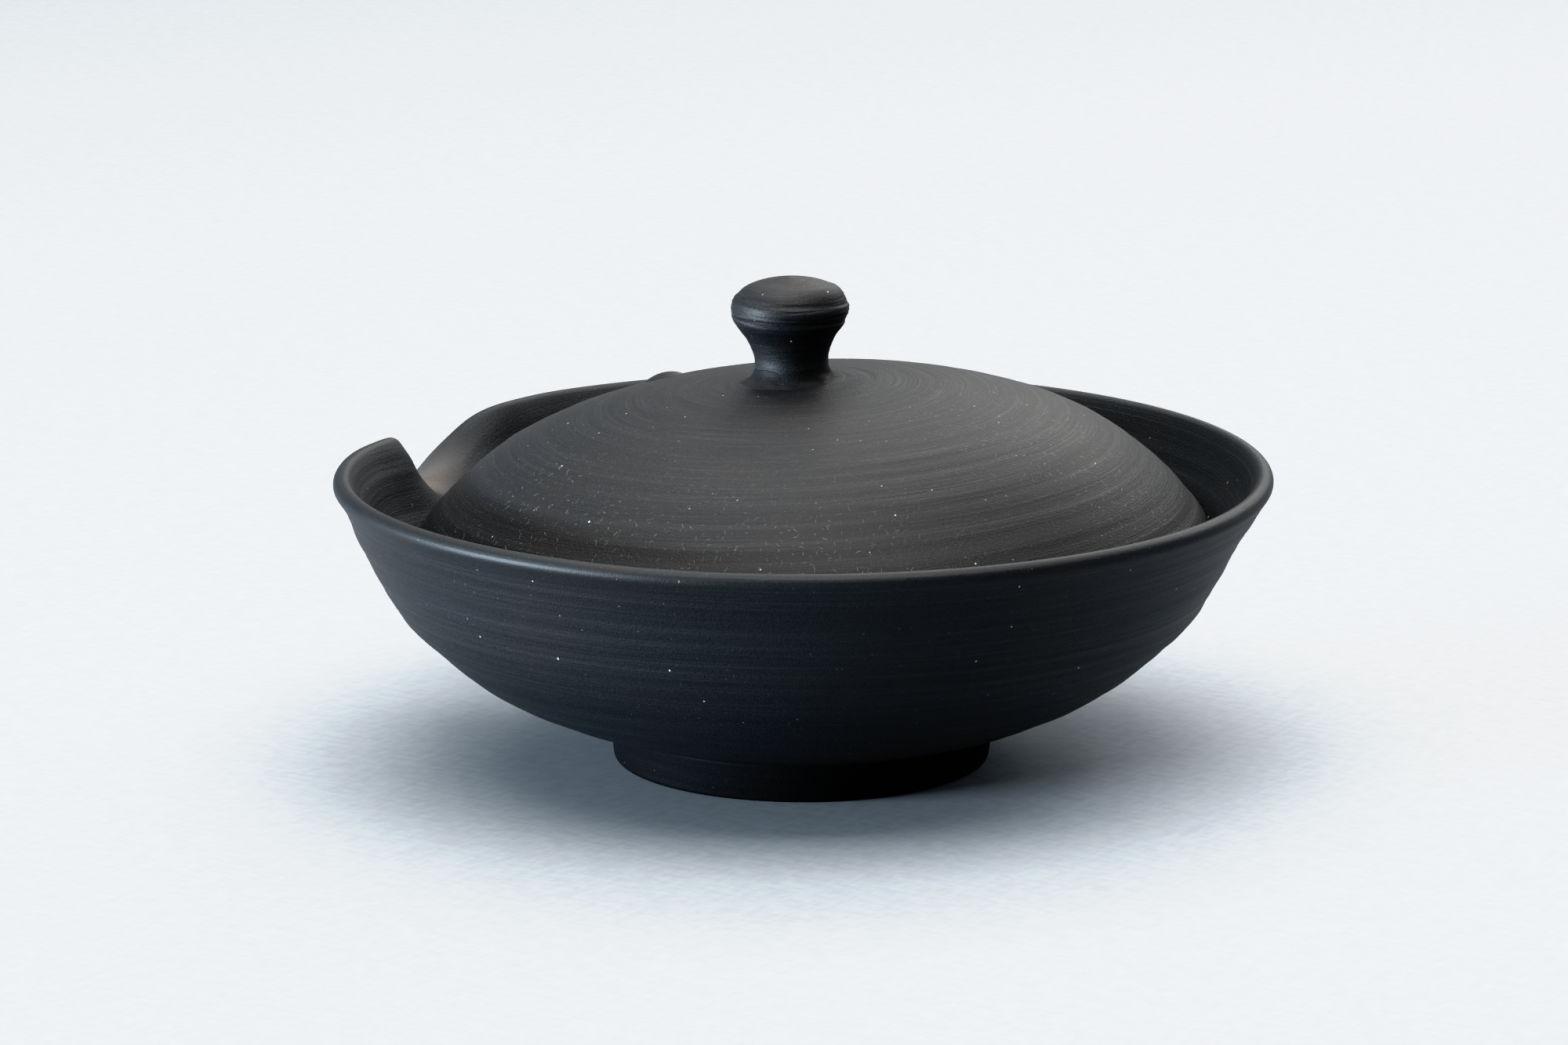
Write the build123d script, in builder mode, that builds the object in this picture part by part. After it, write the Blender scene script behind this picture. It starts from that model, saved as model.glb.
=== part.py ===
from build123d import *
import math
import os

# A lidded pouring bowl: a thrown bowl on a turned foot ring, with its rim pinched into a
# pouring lip, and a loose domed lid with a mushroom knob.
# Origin: centre of the face that the foot stands on. +Z up, +X through the pouring lip.

# Bowl
FOOT_RADIUS = 24.2
FOOT_TOP_RADIUS = 24.8
FOOT_INNER_RADIUS = 20.4
FOOT_INNER_TAPER = 0.6
FOOT_HEIGHT = 5.2
FOOT_EDGE = 0.7
FLOOR_THICKNESS = 3.0
FLOOR_FLAT_RADIUS = 18.0
UNDERSIDE_RADIUS = 25.4
UNDERSIDE_START = (1, 0.3)
UNDERSIDE = [(29.6, 6.5), (35.4, 8.7), (42.1, 12.2), (46.8, 16.1)]
INNER_FLOOR = [(28.0, 9.0), (35.6, 11.2), (41.6, 14.3), (46.1, 17.9)]
BELLY = (49.8, 20.85)
BELLY_LEAN = 38.0
BELLY_WALL = 2.6
RIM = (58.85, 36.85)
RIM_LEAN = 33.0
RIM_WALL = 2.3
WALL_PULL = 5.3

# Pouring lip, where the rim is pressed down and pulled out between two pinched shoulders
LIP_DIP = 8.7
LIP_DIP_ANGLE = 6.2
LIP_DIP_POWER = 1.83
LIP_REACH = 3.1
LIP_REACH_ANGLE = 6.9
LIP_LEAN = 78.0
LIP_BEND = 0.7
SIDE_DIP = 0.6
SIDE_DIP_ANGLE = 66.0
PINCH_DEPTH = 0.9
PINCH_ANGLE = 13.2
PINCH_WIDTH = 6.0
SECTION_STEPS = 48

# Lid, which sits inside the rim a little out of level
LID_TILT = 2.9
LID_LOW_ANGLE = 33.5
LID_SHIFT = 0.8
LID_EDGE_HEIGHT = 27.5
LID_EDGE_RADIUS = 51.7
LID_EDGE_HALF = 1.15
LID_EDGE_RISE = 0.4
LID_EDGE_TANGENT = (0.12, -1)
LID_APEX = 22.0
LID_DOME = [(16.0, 20.85), (28.0, 18.35), (38.0, 14.35), (45.6, 8.60), (50.0, 3.50)]
LID_THICKNESS = 3.0
LID_INNER_RUN = 62.0
LID_INNER_SPREAD = 110.0

# Knob, joined to the lid with a collar of slip; heights are above the lid's crown
KNOB_TILT = 1.9
KNOB_OFFSET = 0.55
KNOB_CAP = [(4.7, 12.35), (6.6, 11.25), (7.5, 9.2), (6.9, 7.2), (5.55, 5.2)]
KNOB_HEIGHT = 13.35
KNOB_NECK_RADIUS = 4.7
KNOB_NECK_HEIGHT = 2.4
KNOB_ROOT_DEPTH = 1.0
COLLAR_RADIUS = 6.6
COLLAR_HEIGHT = 1.9
COLLAR_LEDGE = 0.25
COLLAR_TANGENT = (-1, 0.15)

# Raised bead on the lid, on the side of the pouring lip
BEAD_RADIUS = 2.0
BEAD_HEIGHT = 0.75
BEAD_DISTANCE = 24.8
BEAD_ANGLE = -12.4


def bell(angle, width, power=2.0):
    return math.exp(-((abs(angle) / width) ** power))


def window(angle, width):
    if abs(angle) >= width:
        return 0.0
    return math.cos(math.pi * angle / (2 * width)) ** 2


def rim_place(angle):
    """Centre of the rim and its lean from the vertical, in the half plane at this angle."""
    reach = bell(angle, LIP_REACH_ANGLE)
    pinch = bell(abs(angle) - PINCH_ANGLE, PINCH_WIDTH) * (1 - reach)
    dip = LIP_DIP * bell(angle, LIP_DIP_ANGLE, LIP_DIP_POWER)
    dip += SIDE_DIP * window(angle, SIDE_DIP_ANGLE)
    centre = (RIM[0] + LIP_REACH * reach - PINCH_DEPTH * pinch, RIM[1] - dip)
    lean = RIM_LEAN + (LIP_LEAN - RIM_LEAN) * reach
    return centre, lean


def beside(point, lean, distance):
    """The point this far outward from a wall that leans by this angle."""
    a = math.radians(lean)
    return (point[0] + distance * math.cos(a), point[1] - distance * math.sin(a))


def along(point, lean, distance):
    """The point this far up a wall that leans by this angle."""
    a = math.radians(lean)
    return (point[0] + distance * math.sin(a), point[1] + distance * math.cos(a))


def wall_curve(angle, side):
    """Control points up one face of the upper wall: side 1 is the outer face, -1 the inner."""
    rim, rim_lean = rim_place(angle)
    pull = WALL_PULL * math.dist(BELLY, rim) / math.dist(BELLY, RIM)
    rim_pull = pull * (1 + LIP_BEND * bell(angle, LIP_REACH_ANGLE))
    start = beside(BELLY, BELLY_LEAN, side * BELLY_WALL / 2)
    end = beside(rim, rim_lean, side * RIM_WALL / 2)
    return [start, along(start, BELLY_LEAN, pull), along(end, rim_lean, -rim_pull), end]


def bowl_section(angle):
    """The bowl's wall, cut by the half plane at this angle, from the flat of the floor outward."""
    outer = wall_curve(angle, 1)
    inner = wall_curve(angle, -1)
    rim, rim_lean = rim_place(angle)
    floor_z = FOOT_HEIGHT + FLOOR_THICKNESS
    up_belly = along((0, 0), BELLY_LEAN, 1)
    a = math.radians(angle)
    plane = Plane((0, 0, 0), x_dir=(math.cos(a), math.sin(a), 0), z_dir=(math.sin(a), -math.cos(a), 0))
    with BuildSketch(plane) as section:
        with BuildLine():
            Line((FLOOR_FLAT_RADIUS, floor_z), (FLOOR_FLAT_RADIUS, FOOT_HEIGHT))
            Line((FLOOR_FLAT_RADIUS, FOOT_HEIGHT), (UNDERSIDE_RADIUS, FOOT_HEIGHT))
            Spline(
                (UNDERSIDE_RADIUS, FOOT_HEIGHT),
                *UNDERSIDE,
                outer[0],
                tangents=[UNDERSIDE_START, up_belly],
            )
            Bezier(*outer)
            ThreePointArc(outer[-1], along(rim, rim_lean, RIM_WALL / 2), inner[-1])
            Bezier(*inner)
            Spline((FLOOR_FLAT_RADIUS, floor_z), *INNER_FLOOR, inner[0], tangents=[(1, 0), up_belly])
        make_face()
    return section.sketch.face()


# Bowl: turned all round, with the pouring lip lofted through radial sections
step = 2 * SIDE_DIP_ANGLE / SECTION_STEPS
section_angles = [step * k - SIDE_DIP_ANGLE for k in range(SECTION_STEPS + 1)]

with BuildPart() as bowl:
    revolve(bowl_section(SIDE_DIP_ANGLE), axis=Axis.Z, revolution_arc=360 - 2 * SIDE_DIP_ANGLE)
    with BuildSketch(Plane.XY.offset(FOOT_HEIGHT)):
        Circle(FLOOR_FLAT_RADIUS)
    extrude(amount=FLOOR_THICKNESS)
    loft([bowl_section(angle) for angle in section_angles])

bowl.part.label = "bowl"

# Foot ring: a turned ring, open in the middle, that meets the flat of the bowl's underside
with BuildPart() as foot_ring:
    with BuildSketch(Plane.XZ):
        with BuildLine():
            Polyline(
                (FOOT_INNER_RADIUS, 0),
                (FOOT_RADIUS, 0),
                (FOOT_TOP_RADIUS, FOOT_HEIGHT),
                (FOOT_INNER_RADIUS - FOOT_INNER_TAPER, FOOT_HEIGHT),
                close=True,
            )
        make_face()
    revolve(axis=Axis.Z)
    fillet(foot_ring.edges().filter_by_position(Axis.Z, 0, 0.01), FOOT_EDGE)

foot_ring.part.label = "foot_ring"

# Lid: a thin dome with a rounded edge, turned about its own axis
low = math.radians(LID_LOW_ANGLE)
tilt = math.radians(LID_TILT)
lid_plane = Plane(
    (-LID_SHIFT * math.cos(low), -LID_SHIFT * math.sin(low), LID_EDGE_HEIGHT),
    x_dir=(math.cos(low) * math.cos(tilt), math.sin(low) * math.cos(tilt), -math.sin(tilt)),
    z_dir=(math.cos(low) * math.sin(tilt), math.sin(low) * math.sin(tilt), math.cos(tilt)),
)
lid_meridian = Plane(lid_plane.origin, x_dir=lid_plane.x_dir, z_dir=-lid_plane.y_dir)
lid_axis = Axis(lid_plane.origin, lid_plane.z_dir)
edge_centre = LID_EDGE_RADIUS - LID_EDGE_HALF
inner_dome = [
    (r - LID_THICKNESS * r / LID_INNER_RUN, z - LID_THICKNESS * (1 - (r / LID_INNER_SPREAD) ** 2))
    for r, z in LID_DOME
]

with BuildPart() as lid:
    with BuildSketch(lid_meridian):
        with BuildLine():
            Line((0, LID_APEX - LID_THICKNESS), (0, LID_APEX))
            Spline(
                (0, LID_APEX),
                *LID_DOME,
                (LID_EDGE_RADIUS, LID_EDGE_RISE),
                tangents=[(1, 0), LID_EDGE_TANGENT],
            )
            ThreePointArc(
                (LID_EDGE_RADIUS, LID_EDGE_RISE),
                (edge_centre, LID_EDGE_RISE - LID_EDGE_HALF),
                (edge_centre - LID_EDGE_HALF, LID_EDGE_RISE),
            )
            Spline(
                (edge_centre - LID_EDGE_HALF, LID_EDGE_RISE),
                *reversed(inner_dome),
                (0, LID_APEX - LID_THICKNESS),
                tangents=[(-LID_EDGE_TANGENT[0], -LID_EDGE_TANGENT[1]), (-1, 0)],
            )
        make_face()
    revolve(axis=lid_axis)

lid.part.label = "lid"

# Knob: a solid mushroom just off the lid's crown, leaning a little less than the lid
crown = lid_plane.from_local_coords((KNOB_OFFSET, 0, LID_APEX))
lean = math.radians(KNOB_TILT)
knob_plane = Plane(
    crown,
    x_dir=(math.cos(low) * math.cos(lean), math.sin(low) * math.cos(lean), -math.sin(lean)),
    z_dir=(math.cos(low) * math.sin(lean), math.sin(low) * math.sin(lean), math.cos(lean)),
)
knob_meridian = Plane(knob_plane.origin, x_dir=knob_plane.x_dir, z_dir=-knob_plane.y_dir)
knob_axis = Axis(knob_plane.origin, knob_plane.z_dir)

with BuildPart() as knob:
    with BuildSketch(knob_meridian):
        with BuildLine():
            Spline((0, KNOB_HEIGHT), *KNOB_CAP, (KNOB_NECK_RADIUS, KNOB_NECK_HEIGHT),
                   tangents=[(1, 0), (0, -1)])
            Polyline(
                (KNOB_NECK_RADIUS, KNOB_NECK_HEIGHT),
                (KNOB_NECK_RADIUS, -KNOB_ROOT_DEPTH),
                (0, -KNOB_ROOT_DEPTH),
                (0, KNOB_HEIGHT),
            )
        make_face()
    revolve(axis=knob_axis)
    add(lid.part, mode=Mode.SUBTRACT)

knob.part.label = "knob"

# Collar: the fillet of slip round the knob's root
with BuildPart() as knob_collar:
    with BuildSketch(knob_meridian):
        with BuildLine():
            Polyline(
                (KNOB_NECK_RADIUS, COLLAR_HEIGHT),
                (KNOB_NECK_RADIUS, -KNOB_ROOT_DEPTH),
                (COLLAR_RADIUS, -KNOB_ROOT_DEPTH),
                (COLLAR_RADIUS, COLLAR_LEDGE),
            )
            TangentArc(
                (COLLAR_RADIUS, COLLAR_LEDGE),
                (KNOB_NECK_RADIUS, COLLAR_HEIGHT),
                tangent=COLLAR_TANGENT,
            )
        make_face()
    revolve(axis=knob_axis)
    add(lid.part, mode=Mode.SUBTRACT)

knob_collar.part.label = "knob_collar"

# Bead: a small button of clay on the dome, toward the pouring lip
bead_radians = math.radians(BEAD_ANGLE) - low
above_bead = lid_plane.from_local_coords(
    (BEAD_DISTANCE * math.cos(bead_radians), BEAD_DISTANCE * math.sin(bead_radians), 2 * LID_APEX)
)
crossings = lid.part.find_intersection_points(Axis(above_bead, -lid_plane.z_dir))
bead_spot, bead_normal = max(crossings, key=lambda crossing: crossing[0].Z)
bead_plane = Plane(bead_spot, z_dir=bead_normal)
bead_meridian = Plane(bead_spot, x_dir=bead_plane.x_dir, z_dir=-bead_plane.y_dir)

with BuildPart() as lid_bead:
    with BuildSketch(bead_meridian):
        with BuildLine():
            TangentArc((0, BEAD_HEIGHT), (BEAD_RADIUS, 0), tangent=(1, 0))
            Polyline((BEAD_RADIUS, 0), (0, 0), (0, BEAD_HEIGHT))
        make_face()
    revolve(axis=Axis(bead_spot, bead_normal))

lid_bead.part.label = "lid_bead"

os.makedirs("parts", exist_ok=True)
export_step(bowl.part, "parts/bowl.step")
export_step(foot_ring.part, "parts/foot_ring.step")
export_step(lid.part, "parts/lid.step")
export_step(knob.part, "parts/knob.step")
export_step(knob_collar.part, "parts/knob_collar.step")
export_step(lid_bead.part, "parts/lid_bead.step")
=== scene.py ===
import bmesh
import bpy
import math
from mathutils import Matrix, Vector, noise


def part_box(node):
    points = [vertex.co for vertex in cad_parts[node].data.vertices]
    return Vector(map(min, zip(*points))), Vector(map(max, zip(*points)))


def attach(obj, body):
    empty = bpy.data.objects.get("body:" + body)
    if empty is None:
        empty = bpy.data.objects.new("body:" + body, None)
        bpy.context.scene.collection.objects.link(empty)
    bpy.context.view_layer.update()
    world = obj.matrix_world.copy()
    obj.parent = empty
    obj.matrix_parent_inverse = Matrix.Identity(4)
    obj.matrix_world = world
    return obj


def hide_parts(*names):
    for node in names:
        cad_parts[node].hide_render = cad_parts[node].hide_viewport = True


# A lidded pouring bowl of unglazed black clay: bowl on a foot ring, loose lid with a knob.
# +Z is up and +X goes out through the pouring lip. Lengths are metres, angles degrees.
# Lists of radius and height are in millimetres, as are the few values whose comment says so.

MM = 0.001
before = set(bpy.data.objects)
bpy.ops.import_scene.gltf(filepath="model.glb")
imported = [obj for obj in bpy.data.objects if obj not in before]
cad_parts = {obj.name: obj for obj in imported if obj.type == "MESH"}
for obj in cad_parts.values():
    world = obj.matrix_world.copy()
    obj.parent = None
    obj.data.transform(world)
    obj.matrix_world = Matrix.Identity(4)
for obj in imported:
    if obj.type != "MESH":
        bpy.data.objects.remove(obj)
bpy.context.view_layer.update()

# ---------------------------------------------------------------- sizes from the frame
bowl_low, bowl_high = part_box("bowl")
foot_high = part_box("foot_ring")[1]
RIM_RADIUS = -bowl_low.x
RIM_TOP = bowl_high.z
FOOT_HEIGHT = foot_high.z
FOOT_TOP_RADIUS = foot_high.x

# ---------------------------------------------------------------- bowl
FLOOR_THICKNESS = 3.0 * MM
UNDERSIDE_START = (FOOT_TOP_RADIUS + 0.6 * MM, FOOT_HEIGHT)
UNDERSIDE_HEADING = (0.96, 0.28)
UNDERSIDE_SPACING = 0.5 * MM
UNDERSIDE = [(29.6, 6.5), (35.4, 8.7), (42.1, 12.2), (46.8, 16.1)]
FACET_CORNERS = [(33.0, 7.7), (39.6, 10.7), (45.3, 14.7)]
FACET_SHARE = 0.35
INNER_FLOOR = [(18.0, 8.2), (28.0, 9.0), (35.6, 11.2), (41.6, 14.3), (46.1, 17.9)]
INNER_SPACING = 1.3 * MM
BELLY = (49.8 * MM, 20.85 * MM)
BELLY_LEAN = 38.0
BELLY_WALL = 2.6 * MM
RIM_WALL = 2.3 * MM
RIM = (RIM_RADIUS - RIM_WALL / 2, RIM_TOP - RIM_WALL / 2)
RIM_LEAN = 33.0
WALL_PULL = 5.3 * MM
LIP_DIP = 8.7 * MM
LIP_DIP_ANGLE = 6.2
LIP_DIP_POWER = 1.83
LIP_REACH = 3.1 * MM
LIP_REACH_ANGLE = 6.9
LIP_LEAN = 78.0
LIP_BEND = 0.7
SIDE_DIP = 0.6 * MM
SIDE_DIP_ANGLE = 66.0
PINCH_DEPTH = 0.9 * MM
PINCH_ANGLE = 13.2
PINCH_WIDTH = 6.0
FLAT_STEPS = 4
FLOOR_STEPS = 6
OUTER_STEPS = 92
INNER_STEPS = 28
LIP_STEPS = 14
FINE_STEP = 0.45
FINE_HALF_ANGLE = 20
COARSE_STEP = 1.1

# How far the rim and the foot stand off the axis, and which way
SWAY_ANGLE = math.radians(-146.5)
SWAY_HEADING = (math.cos(SWAY_ANGLE), math.sin(SWAY_ANGLE))
RIM_SWAY = 0.55 * MM
RIM_WAVE = 0.10 * MM
FOOT_SWAY = 0.35 * MM

# A swelling along the rim and a groove below it, with widths in millimetres
RIM_RELIEF = 0.04 * MM
RIM_SWELL_WIDTH = 0.9
RIM_GROOVE_WIDTH = 1.0
RIM_GROOVE_BELOW = 2.0 * MM

# What the clay's material is told: lengths in millimetres along the wall, angles from the lip
RUBBED_WIDTH = 0.6
# Where the pale painted highlight lies on the pouring channel's floor, standing in for the sheen that floor
# catches
LIP_HIGHLIGHT_HALF_ANGLE = 4.2
LIP_HIGHLIGHT_BELOW = 2.5
LIP_HIGHLIGHT_WIDTH = 3.0
FADED_INSIDE_ANGLE = 16
FADED_OUTSIDE_ANGLE = 12
FADED_OUTSIDE_SHARE = 0.35

# ---------------------------------------------------------------- foot ring
FOOT_INNER_RADIUS = 20.4 * MM
FOOT_TAPER = 0.6 * MM
FOOT_EDGE = 0.7 * MM
FOOT_ANGLE_STEP = 1.5

# ---------------------------------------------------------------- lid, knob, collar and bead
LID_TILT = 2.9
LID_LOW_ANGLE = 33.5
LID_SHIFT = 0.8 * MM
LID_EDGE_HEIGHT = 27.5 * MM
LID_EDGE_RADIUS = 51.7 * MM
LID_EDGE_HALF = 1.15 * MM
LID_EDGE_RISE = 0.4 * MM
LID_APEX = 22.0 * MM
LID_DOME = [(16.0, 20.85), (28.0, 18.35), (38.0, 14.35), (45.6, 8.60), (50.0, 3.50)]
DOME_EDGE_HEADING = (0.12, -0.99)
DOME_SPACING = 0.36 * MM
LID_THICKNESS = 3.0 * MM
UNDER_DOME_NARROWING = LID_APEX + 40 * MM
UNDER_DOME_THINNING = 110 * MM
UNDER_DOME_SPACING = 1.2 * MM
LID_EDGE_STEPS = 12
LID_ANGLE_STEP = 1.0
KNOB_TILT = 1.9
KNOB_OFFSET = 0.55 * MM
KNOB_HEIGHT = 13.35 * MM
KNOB_CAP = [(4.7, 12.35), (6.6, 11.25), (7.5, 9.2), (6.9, 7.2), (5.55, 5.2), (4.7, 2.4)]
CROWN_HEADING = (0.93, -0.22)
KNOB_SPACING = 0.14 * MM
KNOB_ANGLE_STEP = 2.0
NECK_RADIUS = KNOB_CAP[-1][0] * MM
NECK_TOP = KNOB_CAP[-1][1] * MM
NECK_STEPS = 14
ROOT_LEVEL = -0.9 * MM
ROOT_STEPS = 4

# The knob's spiral ridge and the fine combing on its shoulder, with the heights where each comes and goes
SPIRAL_PITCH = 2.3 * MM
SPIRAL_RIDGE = 0.15 * MM
SPIRAL_PEAK = 0.8
SPIRAL_MEAN = 0.45
SPIRAL_RISE = (6.0 * MM, 7.6 * MM)
SPIRAL_FALL = (11.9 * MM, 13.0 * MM)
COMB_RIDGE = 0.055 * MM
COMB_PITCH = 0.11 * MM
COMB_RISE = (7.4 * MM, 8.4 * MM)
COMB_FALL = (10.4 * MM, 11.2 * MM)
KNOB_WOBBLE = 0.012

COLLAR_RADIUS = 6.6 * MM
COLLAR_SPREAD = 0.55 * MM
COLLAR_UNEVEN = 0.55 * MM
COLLAR_HEIGHT = 1.9 * MM
COLLAR_UNEVEN_TOP = 0.35 * MM
COLLAR_INSET = 0.25 * MM
COLLAR_LEVEL = -0.45 * MM
COLLAR_HEM = 0.02 * MM
COLLAR_HEM_POINT = 4
COLLAR_HEM_FADE = (1.4 * MM, 2.8 * MM)
COLLAR_STEPS = 20
COLLAR_LUMP = 0.07 * MM
COLLAR_LUMPS_ROUND = 4
COLLAR_LUMPS_PER_METRE = 1400
BEAD_RADIUS = 2.0 * MM
BEAD_HEIGHT = 0.75 * MM
BEAD_DISTANCE = 24.8 * MM
BEAD_ANGLE = -12.4
BEAD_SPREAD = 1.30
BEAD_UNEVEN = 0.05
BEAD_PROFILE_POWER = 1.7
BEAD_SUNK = 0.04 * MM
BEAD_STEPS = 12
BEAD_ANGLE_STEP = 7.5

# ---------------------------------------------------------------- turned ripples
# Each ripple: depth, pitch, seed, and how fast it changes round the pot
OUTER_RIPPLES = [(0.060 * MM, 2.1 * MM, 1, 0.8), (0.030 * MM, 0.7 * MM, 2, 0.8)]
INNER_RIPPLES = [(0.08 * MM, 3.4 * MM, 3, 1.0), (0.03 * MM, 1.0 * MM, 4, 1.0)]
FOOT_RIPPLES = [(0.05 * MM, 1.1 * MM, 6, 1.0)]
LID_RIPPLES = [(0.035 * MM, 2.1 * MM, 8, 1.0), (0.018 * MM, 0.85 * MM, 9, 1.0)]
UNDER_LID_RIPPLES = [(0.05 * MM, 2.6 * MM, 10, 1.0)]
KNOB_RIPPLES = [(0.012 * MM, 0.5 * MM, 12, 1.0)]

# Grooves low on the bowl's outer face: run from the axis in mm, rise per degree, middle angle, half
# the angle covered, and depth in mm
TOOL_MARK_WIDTH = 0.22
TOOL_MARKS = [
    (25.6, 0.016, 48, 30, 0.07),
    (27.9, 0.008, 70, 46, 0.11),
    (29.2, 0.012, 58, 26, 0.06),
    (31.6, 0.006, 44, 34, 0.09),
    (33.0, 0.014, 66, 30, 0.06),
    (36.4, 0.004, 52, 40, 0.07),
    (40.2, 0.003, 60, 60, 0.05),
    (28.6, -0.010, 200, 34, 0.08),
    (31.0, -0.006, 214, 28, 0.06),
    (26.2, 0.007, 290, 60, 0.08),
    (34.8, -0.004, 310, 50, 0.06),
]


# ---------------------------------------------------------------- curves and small helpers
def bell(off, width, power=2.0):
    """1 in the middle, falling away to nothing on both sides."""
    return math.exp(-((abs(off) / width) ** power))


def window(angle, width):
    """Like bell, but exactly 0 from `width` outward."""
    if abs(angle) >= width:
        return 0.0
    return math.cos(math.pi * angle / (2 * width)) ** 2


def smooth(low, high, value):
    """0 below `low`, 1 above `high` and an S-curve between them."""
    t = min(max((value - low) / (high - low), 0.0), 1.0)
    return t * t * (3 - 2 * t)


def between(rise, fall, value):
    """Fades in over the stretch `rise` and out over the stretch `fall`."""
    return smooth(*rise, value) * (1 - smooth(*fall, value))


def millimetres(points):
    return [(r * MM, z * MM) for r, z in points]


def spline(points, start, end, spacing):
    """Points about `spacing` apart on a smooth curve through `points`.

    It leaves along `start` and arrives along `end`.
    """
    slopes = [start]
    for before, after in zip(points, points[2:]):
        size = math.dist(before, after)
        slopes.append(((after[0] - before[0]) / size, (after[1] - before[1]) / size))
    slopes.append(end)
    out = [points[0]]
    for a, b, u, v in zip(points, points[1:], slopes, slopes[1:]):
        span = math.dist(a, b)
        steps = max(2, round(span / spacing))
        for k in range(1, steps + 1):
            t = k / steps
            near_a = 2 * t**3 - 3 * t**2 + 1
            near_b = 1 - near_a
            leave = (t**3 - 2 * t**2 + t) * span
            arrive = (t**3 - t**2) * span
            out.append(
                tuple(near_a * a[i] + leave * u[i] + near_b * b[i] + arrive * v[i] for i in (0, 1))
            )
    return out


def bezier(points, steps):
    """Points on the cubic curve that four points steer, without its first one."""
    out = []
    for k in range(1, steps + 1):
        t = k / steps
        u = 1 - t
        weights = (u**3, 3 * u * u * t, 3 * u * t * t, t**3)
        out.append(tuple(sum(w * p[i] for w, p in zip(weights, points)) for i in (0, 1)))
    return out


def arc(centre, radius, start, end, steps):
    """Points on an arc, without its first one; angles are from the outward direction."""
    out = []
    for k in range(1, steps + 1):
        a = math.radians(start + (end - start) * k / steps)
        out.append((centre[0] + radius * math.cos(a), centre[1] + radius * math.sin(a)))
    return out


def straight(start, end, steps):
    """Points on a straight line, without its first one."""
    return [tuple(a + (b - a) * k / steps for a, b in zip(start, end)) for k in range(1, steps + 1)]


def lengths(points):
    """Run along the outline up to each point."""
    run = [0.0]
    for a, b in zip(points, points[1:]):
        run.append(run[-1] + math.dist(a, b))
    return run


def push(points, amounts):
    """Moves each point of an outline along its outward normal."""
    out = []
    last = len(points) - 1
    for i, p in enumerate(points):
        a = points[max(i - 1, 0)]
        b = points[min(i + 1, last)]
        size = math.dist(a, b) or 1.0
        normal = ((b[1] - a[1]) / size, -(b[0] - a[0]) / size)
        out.append((p[0] + normal[0] * amounts[i], p[1] + normal[1] * amounts[i]))
    return out


def wander(angle, seed, rate=1.0):
    """A slow, seamless change round the pot, between about -1 and 1."""
    a = math.radians(angle)
    return 2.0 * noise.noise(Vector((math.cos(a) * rate, math.sin(a) * rate, seed * 7.31)))


def grain(s, angle, pitch, seed, rate=1.0):
    """A turned ripple of about this pitch, uneven along the wall and drifting round the pot."""
    a = math.radians(angle)
    place = Vector((math.cos(a) * rate, math.sin(a) * rate, s / pitch + seed * 3.7))
    return 2.0 * noise.noise(place)


def ripples(s, angle, kinds):
    return sum(depth * grain(s, angle, pitch, seed, rate) for depth, pitch, seed, rate in kinds)


def sway(z):
    """How far the thrown clay stands off its axis at this height, along SWAY_HEADING."""
    foot = FOOT_SWAY * (1 - smooth(FOOT_HEIGHT, 2 * FOOT_HEIGHT, z))
    return foot + RIM_SWAY * smooth(RIM_TOP - 8 * MM, RIM_TOP - 3.5 * MM, z)


def all_round(step):
    return [k * step for k in range(round(360 / step))]


def turned(name, outline, angles, place=None, closed=False, off_axis=False, material_marks=None):
    """A mesh of revolution from the outline at each angle.

    Its `turn` attribute keeps the cosine and sine of the angle and the run along the outline in mm.
    Its other attribute keeps how far the clay is rubbed, how much of its material's second shade it shows
    (a painted highlight on the bowl, the hem's shade on the collar), and how far its rings are faded.
    """
    verts = []
    turn = []
    material_mark_values = []
    for angle in angles:
        points = outline(angle)
        count = len(points)
        run = lengths(points)
        cosine = math.cos(math.radians(angle))
        sine = math.sin(math.radians(angle))
        for (r, z), distance in zip(points, run):
            off = sway(z) if off_axis else 0.0
            verts.append((r * cosine + off * SWAY_HEADING[0], r * sine + off * SWAY_HEADING[1], z))
            turn.append((cosine, sine, distance / MM))
        material_mark_values += material_marks(angle, run) if material_marks else [(0.0, 0.0, 0.0)] * count
    faces = []
    rings = len(angles)
    last = count if closed else count - 1
    for i in range(rings):
        j = (i + 1) % rings
        for k in range(last):
            m = (k + 1) % count
            faces.append((i * count + k, j * count + k, j * count + m, i * count + m))
    mesh = bpy.data.meshes.new(name)
    mesh.from_pydata(verts, [], faces)
    for label, values in (("turn", turn), ("material_marks", material_mark_values)):
        attribute = mesh.attributes.new(label, "FLOAT_VECTOR", "POINT")
        attribute.data.foreach_set("vector", [number for value in values for number in value])
    mesh.polygons.foreach_set("use_smooth", [True] * len(mesh.polygons))
    if place is not None:
        mesh.transform(place)
    piece = bpy.data.objects.new(name, mesh)
    bpy.context.scene.collection.objects.link(piece)
    if not closed:
        close_poles(piece)
    return piece


def close_poles(piece):
    """Welds the points that meet on the axis and turns all faces outward."""
    same_point = 1e-7
    no_length = 1e-8
    bm = bmesh.new()
    bm.from_mesh(piece.data)
    bmesh.ops.remove_doubles(bm, verts=bm.verts, dist=same_point)
    bmesh.ops.dissolve_degenerate(bm, edges=bm.edges, dist=no_length)
    bmesh.ops.recalc_face_normals(bm, faces=bm.faces)
    bm.to_mesh(piece.data)
    bm.free()


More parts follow.
